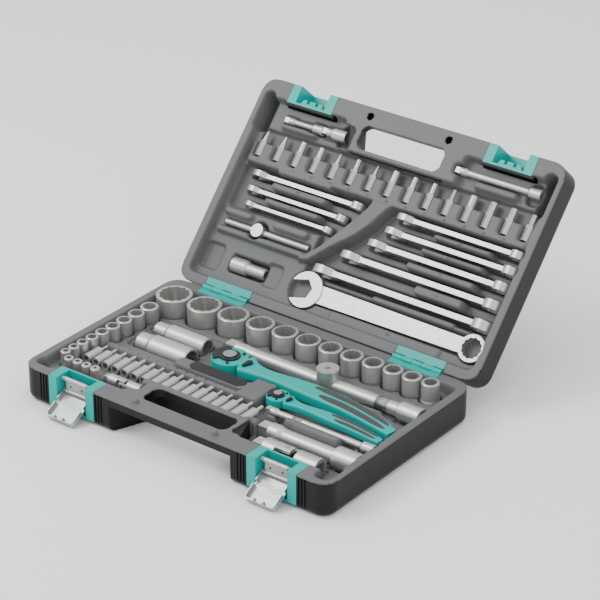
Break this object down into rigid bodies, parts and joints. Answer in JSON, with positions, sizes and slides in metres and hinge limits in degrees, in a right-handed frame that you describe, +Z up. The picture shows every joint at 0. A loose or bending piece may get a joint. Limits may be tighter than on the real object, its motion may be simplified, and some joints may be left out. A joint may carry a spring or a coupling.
{
  "type": "socket wrench set in case",
  "caption": "Open hinged carrying case with moulded trays holding socket drivers, ratchets, extensions, bits and combination wrenches",
  "frame": {"origin": "middle of the base's flat underside, at the level of the table", "axes": "+X along the hinge to the right as the user faces the front, +Y to the back where the lid stands, +Z up"},
  "size_m": [0.415, 0.4817, 0.2351],
  "materials": {
    "shell_plastic": "fine moulded grain",
    "tray_plastic": "soft moulded satin",
    "accent_plastic": "smooth satin",
    "satin_chrome": "satin chrome plate",
    "sheet_steel": "bright zinc plate",
    "polished_steel": "ground steel",
    "dark_plastic": "satin",
    "grip_rubber": "matt ribbed"
  },
  "bodies": {
    "base": {"base_shell": "shell_plastic", "base_tray": "tray_plastic", "hinge_base_leaves": "accent_plastic", "hinge_pins": "polished_steel", "latch_frame_left": "accent_plastic", "latch_frame_right": "accent_plastic", "latch_pin_left": "polished_steel", "latch_pin_right": "polished_steel", "sockets_half": "satin_chrome", "sockets_quarter": "satin_chrome", "bit_sockets": "satin_chrome"},
    "lid": {"lid_shell": "shell_plastic", "lid_tray": "tray_plastic", "hinge_lid_leaves": "accent_plastic", "lid_catch_left": "accent_plastic", "lid_catch_right": "accent_plastic", "bits": "satin_chrome"},
    "latch_link_left": {"latch_link_left": "sheet_steel"},
    "latch_lever_left": {"latch_lever_left": "sheet_steel"},
    "latch_link_right": {"latch_link_right": "sheet_steel"},
    "latch_lever_right": {"latch_lever_right": "sheet_steel"},
    "ratchet_half": {"ratchet_half_body": "accent_plastic", "ratchet_half_grips": "grip_rubber", "ratchet_half_cover": "dark_plastic"},
    "ratchet_half_drive": {"ratchet_half_drive": "satin_chrome"},
    "ratchet_half_selector": {"ratchet_half_selector": "dark_plastic"},
    "ratchet_half_button": {"ratchet_half_button": "polished_steel"},
    "ratchet_quarter": {"ratchet_quarter_body": "accent_plastic", "ratchet_quarter_grips": "grip_rubber", "ratchet_quarter_cover": "dark_plastic"},
    "ratchet_quarter_drive": {"ratchet_quarter_drive": "satin_chrome"},
    "ratchet_quarter_selector": {"ratchet_quarter_selector": "dark_plastic"},
    "ratchet_quarter_button": {"ratchet_quarter_button": "polished_steel"},
    "extension_half_long": {"extension_half_long": "satin_chrome"},
    "sliding_head": {"sliding_head": "satin_chrome"},
    "universal_half_drive": {"universal_half_drive": "satin_chrome"},
    "universal_half_cross": {"universal_half_cross": "polished_steel"},
    "universal_half_socket": {"universal_half_socket": "satin_chrome"},
    "universal_quarter_drive": {"universal_quarter_drive": "satin_chrome"},
    "universal_quarter_cross": {"universal_quarter_cross": "polished_steel"},
    "universal_quarter_socket": {"universal_quarter_socket": "satin_chrome"},
    "extension_half_short": {"extension_half_short": "satin_chrome"},
    "extension_quarter_long": {"extension_quarter_long": "satin_chrome"},
    "spark_plug_socket_large": {"spark_plug_socket_large": "satin_chrome"},
    "spark_plug_socket_small": {"spark_plug_socket_small": "satin_chrome"},
    "wrench_22": {"wrench_22": "satin_chrome"},
    "wrench_19": {"wrench_19": "satin_chrome"},
    "wrench_17": {"wrench_17": "satin_chrome"},
    "wrench_15": {"wrench_15": "satin_chrome"},
    "wrench_14": {"wrench_14": "satin_chrome"},
    "wrench_13": {"wrench_13": "satin_chrome"},
    "wrench_12": {"wrench_12": "satin_chrome"},
    "wrench_10": {"wrench_10": "satin_chrome"},
    "wrench_8": {"wrench_8": "satin_chrome"},
    "extension_quarter_medium": {"extension_quarter_medium": "satin_chrome"},
    "extension_quarter_short": {"extension_quarter_short": "satin_chrome"},
    "square_adapter": {"square_adapter": "satin_chrome"},
    "bit_adapter": {"bit_adapter": "satin_chrome"},
    "tee_bar": {"tee_bar": "satin_chrome"},
    "tee_bar_head": {"tee_bar_head": "satin_chrome"}
  },
  "joints": [
    {"name": "lid_hinge", "type": "hinge", "parent": "base", "child": "lid", "pos_m": [0, 0.1305, 0.042], "axis": [1, 0, 0], "range_deg": [0, 132]},
    {"name": "latch_link_left_swing", "type": "hinge", "parent": "base", "child": "latch_link_left", "pos_m": [-0.1365, -0.12, 0.0375], "axis": [-1, 0, 0], "range_deg": [0, 25]},
    {"name": "latch_lever_left_fold", "type": "hinge", "parent": "latch_link_left", "child": "latch_lever_left", "pos_m": [-0.1365, -0.12, 0.023], "axis": [1, 0, 0], "range_deg": [-120, 0]},
    {"name": "latch_link_right_swing", "type": "hinge", "parent": "base", "child": "latch_link_right", "pos_m": [0.1365, -0.12, 0.0375], "axis": [-1, 0, 0], "range_deg": [0, 25]},
    {"name": "latch_lever_right_fold", "type": "hinge", "parent": "latch_link_right", "child": "latch_lever_right", "pos_m": [0.1365, -0.12, 0.023], "axis": [1, 0, 0], "range_deg": [-120, 0]},
    {"name": "ratchet_half_lift", "type": "slide", "parent": "base", "child": "ratchet_half", "axis": [0, 0, -1], "range_m": [-0.045, 0]},
    {"name": "ratchet_half_drive_spin", "type": "hinge", "parent": "ratchet_half", "child": "ratchet_half_drive", "pos_m": [-0.04, 0.0225, 0.02578], "axis": [0, 0, 1], "continuous": true},
    {"name": "ratchet_half_selector_swing", "type": "hinge", "parent": "ratchet_half", "child": "ratchet_half_selector", "pos_m": [-0.01228, 0.0225, 0.0422], "axis": [0, 0, 1], "range_deg": [0, 45]},
    {"name": "ratchet_half_button_press", "type": "slide", "parent": "ratchet_half", "child": "ratchet_half_button", "axis": [0, 0, 1], "range_m": [-0.0015, 0], "stiffness_N_per_m": 400, "springref_m": 0.001},
    {"name": "ratchet_quarter_lift", "type": "slide", "parent": "base", "child": "ratchet_quarter", "axis": [0, 0, -1], "range_m": [-0.045, 0]},
    {"name": "ratchet_quarter_drive_spin", "type": "hinge", "parent": "ratchet_quarter", "child": "ratchet_quarter_drive", "pos_m": [0.054, -0.0125, 0.03074], "axis": [0, 0, 1], "continuous": true},
    {"name": "ratchet_quarter_selector_swing", "type": "hinge", "parent": "ratchet_quarter", "child": "ratchet_quarter_selector", "pos_m": [0.07116, -0.0125, 0.0422], "axis": [0, 0, 1], "range_deg": [0, 45]},
    {"name": "ratchet_quarter_button_press", "type": "slide", "parent": "ratchet_quarter", "child": "ratchet_quarter_button", "axis": [0, 0, 1], "range_m": [-0.0015, 0], "stiffness_N_per_m": 400, "springref_m": 0.001},
    {"name": "extension_half_long_lift", "type": "slide", "parent": "base", "child": "extension_half_long", "axis": [0, 0, -1], "range_m": [-0.045, 0]},
    {"name": "sliding_head_slide", "type": "slide", "parent": "extension_half_long", "child": "sliding_head", "axis": [1, 0, 0], "range_m": [-0.0015, 0.0015]},
    {"name": "universal_half_lift", "type": "slide", "parent": "base", "child": "universal_half_drive", "axis": [0, 0, -1], "range_m": [-0.045, 0]},
    {"name": "universal_half_turn", "type": "hinge", "parent": "universal_half_drive", "child": "universal_half_cross", "pos_m": [0.128, -0.09, 0.029], "axis": [0, 0, 1], "range_deg": [-1.2, 1.2]},
    {"name": "universal_half_bend", "type": "hinge", "parent": "universal_half_cross", "child": "universal_half_socket", "pos_m": [0.128, -0.09, 0.029], "axis": [0, 1, 0], "range_deg": [-40, 0]},
    {"name": "universal_quarter_lift", "type": "slide", "parent": "base", "child": "universal_quarter_drive", "axis": [0, 0, -1], "range_m": [-0.045, 0]},
    {"name": "universal_quarter_turn", "type": "hinge", "parent": "universal_quarter_drive", "child": "universal_quarter_cross", "pos_m": [-0.098, -0.0865, 0.0343], "axis": [0, 0, 1], "range_deg": [-1.2, 1.2]},
    {"name": "universal_quarter_bend", "type": "hinge", "parent": "universal_quarter_cross", "child": "universal_quarter_socket", "pos_m": [-0.098, -0.0865, 0.0343], "axis": [0, 1, 0], "range_deg": [-40, 0]},
    {"name": "extension_half_short_lift", "type": "slide", "parent": "base", "child": "extension_half_short", "axis": [0, 0, -1], "range_m": [-0.045, 0]},
    {"name": "extension_quarter_long_lift", "type": "slide", "parent": "base", "child": "extension_quarter_long", "axis": [0, 0, -1], "range_m": [-0.045, 0]},
    {"name": "spark_plug_socket_large_lift", "type": "slide", "parent": "base", "child": "spark_plug_socket_large", "axis": [0, 0, -1], "range_m": [-0.045, 0]},
    {"name": "spark_plug_socket_small_lift", "type": "slide", "parent": "base", "child": "spark_plug_socket_small", "axis": [0, 0, -1], "range_m": [-0.045, 0]},
    {"name": "wrench_22_lift", "type": "slide", "parent": "lid", "child": "wrench_22", "axis": [0, 0.7431, -0.6691], "range_m": [-0.036, 0]},
    {"name": "wrench_19_lift", "type": "slide", "parent": "lid", "child": "wrench_19", "axis": [0, 0.7431, -0.6691], "range_m": [-0.036, 0]},
    {"name": "wrench_17_lift", "type": "slide", "parent": "lid", "child": "wrench_17", "axis": [0, 0.7431, -0.6691], "range_m": [-0.036, 0]},
    {"name": "wrench_15_lift", "type": "slide", "parent": "lid", "child": "wrench_15", "axis": [0, 0.7431, -0.6691], "range_m": [-0.036, 0]},
    {"name": "wrench_14_lift", "type": "slide", "parent": "lid", "child": "wrench_14", "axis": [0, 0.7431, -0.6691], "range_m": [-0.036, 0]},
    {"name": "wrench_13_lift", "type": "slide", "parent": "lid", "child": "wrench_13", "axis": [0, 0.7431, -0.6691], "range_m": [-0.036, 0]},
    {"name": "wrench_12_lift", "type": "slide", "parent": "lid", "child": "wrench_12", "axis": [0, 0.7431, -0.6691], "range_m": [-0.036, 0]},
    {"name": "wrench_10_lift", "type": "slide", "parent": "lid", "child": "wrench_10", "axis": [0, 0.7431, -0.6691], "range_m": [-0.036, 0]},
    {"name": "wrench_8_lift", "type": "slide", "parent": "lid", "child": "wrench_8", "axis": [0, 0.7431, -0.6691], "range_m": [-0.036, 0]},
    {"name": "extension_quarter_medium_lift", "type": "slide", "parent": "lid", "child": "extension_quarter_medium", "axis": [0, 0.7431, -0.6691], "range_m": [-0.036, 0]},
    {"name": "extension_quarter_short_lift", "type": "slide", "parent": "lid", "child": "extension_quarter_short", "axis": [0, 0.7431, -0.6691], "range_m": [-0.036, 0]},
    {"name": "square_adapter_lift", "type": "slide", "parent": "lid", "child": "square_adapter", "axis": [0, 0.7431, -0.6691], "range_m": [-0.036, 0]},
    {"name": "bit_adapter_lift", "type": "slide", "parent": "lid", "child": "bit_adapter", "axis": [0, 0.7431, -0.6691], "range_m": [-0.036, 0]},
    {"name": "tee_bar_lift", "type": "slide", "parent": "lid", "child": "tee_bar", "axis": [0, 0.7431, -0.6691], "range_m": [-0.036, 0]},
    {"name": "tee_bar_head_slide", "type": "slide", "parent": "tee_bar", "child": "tee_bar_head", "axis": [1, 0, 0], "range_m": [-0.0015, 0.0015]}
  ]
}
